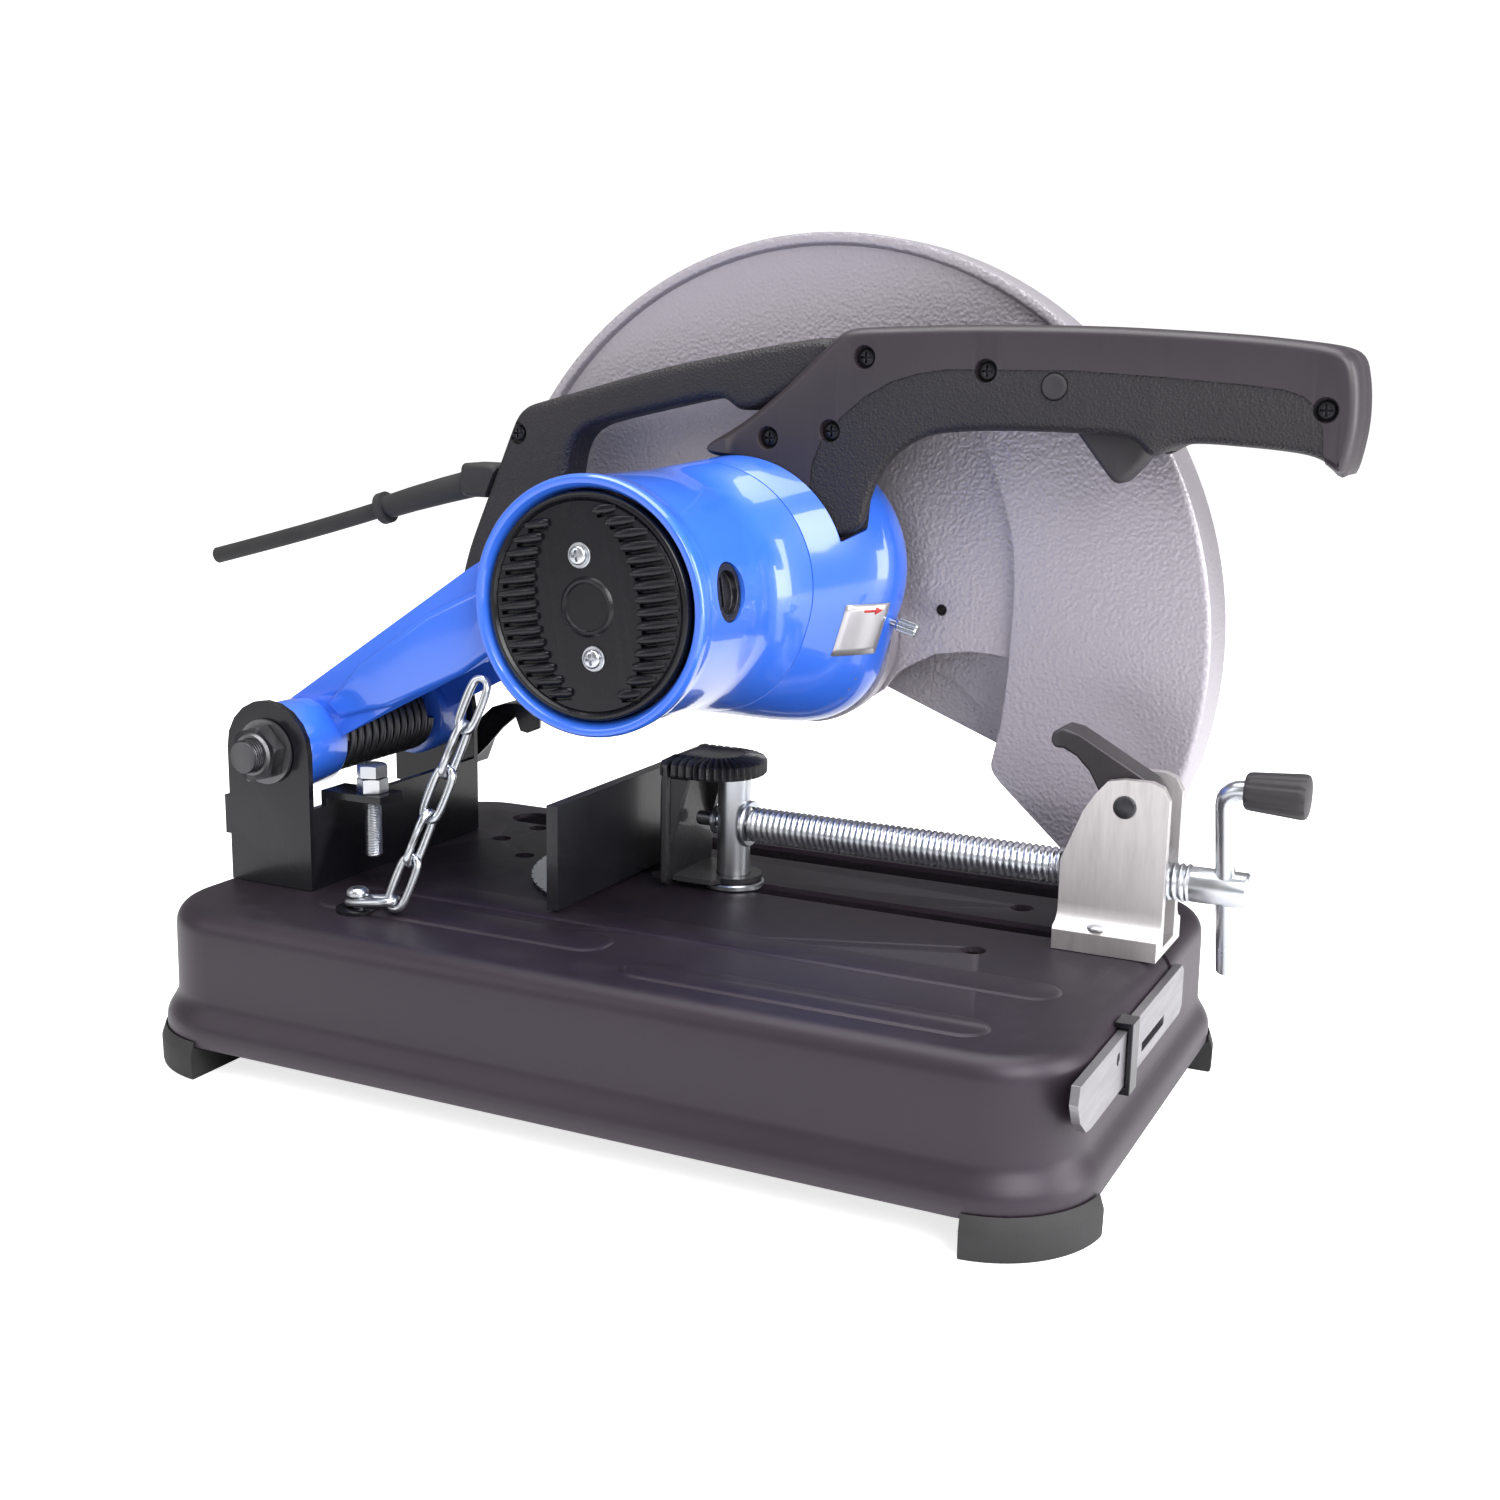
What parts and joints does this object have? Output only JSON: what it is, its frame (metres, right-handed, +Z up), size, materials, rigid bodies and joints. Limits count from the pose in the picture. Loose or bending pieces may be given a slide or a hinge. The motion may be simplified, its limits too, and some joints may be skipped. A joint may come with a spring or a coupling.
{
  "type": "abrasive chop saw",
  "caption": "Bench-top abrasive chop saw with a chained-down motor head, wheel guards, pistol handle, swivel fence and quick-release screw vise on a pressed steel tray.",
  "frame": {"origin": "on the floor, under the middle of the whole length from the cable end to the grip end, and of the width", "axes": "+X towards the vise crank, where the user stands; -Y towards the motor's rear face; +Z up; the head is in its locked-down position"},
  "size_m": [0.6094, 0.277, 0.386],
  "materials": {
    "base_paint": "satin black powder coat",
    "rubber": "moulded black rubber",
    "blue_paint": "gloss cobalt blue",
    "guard_paint": "hammered silver grey",
    "black_plastic": "black, part smooth and part leather grain",
    "zinc_steel": "bright zinc plate",
    "bracket_steel": "coarsely brushed bright steel",
    "dark_steel": "black oxide",
    "cast_black": "black painted casting",
    "motor_iron": "varnished laminations and copper"
  },
  "bodies": {
    "base": {"base_tray": "base_paint", "foot_front_near": "rubber", "foot_front_far": "rubber", "foot_rear_near": "rubber", "foot_rear_far": "rubber", "pivot_bracket": "base_paint", "pivot_bolt": "dark_steel", "pivot_nut": "dark_steel", "stop_lock_nut": "zinc_steel", "torsion_spring": "dark_steel", "mitre_scale": "zinc_steel", "fence_pivot_bolt": "zinc_steel", "nut_bracket": "bracket_steel", "lever_pin": "dark_steel", "spanner_clip": "base_paint", "chain_link_1": "zinc_steel", "chain_link_2": "zinc_steel", "chain_anchor_screw": "zinc_steel"},
    "head": {"arm_casting": "blue_paint", "motor_housing": "blue_paint", "motor_end_cover": "black_plastic", "brush_cap_front": "black_plastic", "brush_cap_rear": "black_plastic", "gearcase_cover": "guard_paint", "stator": "motor_iron", "motor_rear_bearing": "zinc_steel", "motor_front_bearing": "zinc_steel", "spindle_front_bearing": "zinc_steel", "fixed_guard": "guard_paint", "spark_deflector": "base_paint", "handle_near_half": "black_plastic", "handle_far_half": "black_plastic", "carry_handle": "black_plastic", "strain_relief": "rubber", "power_cable": "rubber"},
    "armature_unit": {"armature": "motor_iron", "pinion": "dark_steel", "cooling_fan": "black_plastic"},
    "spindle_unit": {"spindle": "zinc_steel", "inner_flange": "zinc_steel", "outer_flange": "zinc_steel", "wheel_bolt": "zinc_steel", "drive_gear": "dark_steel"},
    "swing_guard_unit": {"swing_guard": "guard_paint"},
    "trigger_unit": {"trigger": "black_plastic"},
    "lock_button_unit": {"lock_button": "black_plastic"},
    "spindle_lock_unit": {"spindle_lock_pin": "zinc_steel"},
    "vise_carriage": {"vise_post": "zinc_steel"},
    "vise_screw_unit": {"vise_screw": "zinc_steel", "crank_rod": "zinc_steel"},
    "crank_grip_unit": {"crank_grip": "black_plastic"},
    "vise_jaw_unit": {"vise_jaw": "cast_black"},
    "half_nut_unit": {"half_nut_lever": "dark_steel"},
    "fence_unit": {"fence_plate": "base_paint"},
    "stop_bolt_unit": {"stop_bolt": "zinc_steel"},
    "spanner_unit": {"spanner": "bracket_steel"},
    "chain_unit": {"chain_link_3": "zinc_steel", "chain_link_4": "zinc_steel", "chain_link_5": "zinc_steel", "chain_link_6": "zinc_steel"}
  },
  "joints": [
    {"name": "head_lift", "type": "hinge", "parent": "base", "child": "head", "pos_m": [-0.16066, 0, 0.142], "axis": [0, -1, 0], "range_deg": [0, 42]},
    {"name": "spindle_spin", "type": "hinge", "parent": "head", "child": "spindle_unit", "pos_m": [0.05034, 0.09, 0.1975], "axis": [0, 1, 0], "continuous": true},
    {"name": "armature_spin", "type": "hinge", "parent": "head", "child": "armature_unit", "pos_m": [0.00534, 0, 0.2205], "axis": [0, 1, 0], "continuous": true},
    {"name": "guard_swing", "type": "hinge", "parent": "head", "child": "swing_guard_unit", "pos_m": [0.05034, 0.1, 0.1975], "axis": [0, -1, 0], "range_deg": [0, 75]},
    {"name": "trigger_pull", "type": "hinge", "parent": "head", "child": "trigger_unit", "pos_m": [0.18634, 0.058, 0.306], "axis": [0, -1, 0], "range_deg": [0, 8]},
    {"name": "lock_button_press", "type": "slide", "parent": "head", "child": "lock_button_unit", "axis": [0, 1, 0], "range_m": [0, 0.003]},
    {"name": "spindle_lock_press", "type": "slide", "parent": "head", "child": "spindle_lock_unit", "axis": [-0.9672, 0, 0.254], "range_m": [0, 0.0018]},
    {"name": "vise_travel", "type": "slide", "parent": "base", "child": "vise_carriage", "axis": [1, 0, 0], "range_m": [-0.009, 0.12]},
    {"name": "screw_turn", "type": "hinge", "parent": "vise_carriage", "child": "vise_screw_unit", "pos_m": [0.26634, 0.033, 0.108], "axis": [1, 0, 0], "continuous": true},
    {"name": "grip_spin", "type": "hinge", "parent": "vise_screw_unit", "child": "crank_grip_unit", "pos_m": [0.28634, 0.01754, 0.15502], "axis": [1, 0, 0], "continuous": true},
    {"name": "jaw_swivel", "type": "hinge", "parent": "vise_carriage", "child": "vise_jaw_unit", "pos_m": [0.03134, 0.033, 0.1], "axis": [0, 0, 1], "range_deg": [-45, 45]},
    {"name": "half_nut_release", "type": "hinge", "parent": "base", "child": "half_nut_unit", "pos_m": [0.22434, 0.033, 0.1415], "axis": [0, 1, 0], "range_deg": [0, 40]},
    {"name": "fence_angle", "type": "hinge", "parent": "base", "child": "fence_unit", "pos_m": [-0.03566, 0.062, 0.08], "axis": [0, 0, 1], "range_deg": [-45, 0]},
    {"name": "stop_height", "type": "slide", "parent": "base", "child": "stop_bolt_unit", "axis": [0, 0, 1], "range_m": [0, 0.01]},
    {"name": "spanner_slide", "type": "slide", "parent": "base", "child": "spanner_unit", "axis": [0, -1, 0], "range_m": [0, 0.12]},
    {"name": "chain_drop", "type": "hinge", "parent": "base", "child": "chain_unit", "pos_m": [-0.07306, -0.08227, 0.10401], "axis": [0.9686, -0.0759, -0.2366], "range_deg": [0, 126.01]}
  ],
  "couplings": [
    {"joint": "armature_spin", "follows": "spindle_spin", "ratio": -2.7143},
    {"joint": "chain_drop", "follows": "head_lift", "ratio": 3}
  ]
}
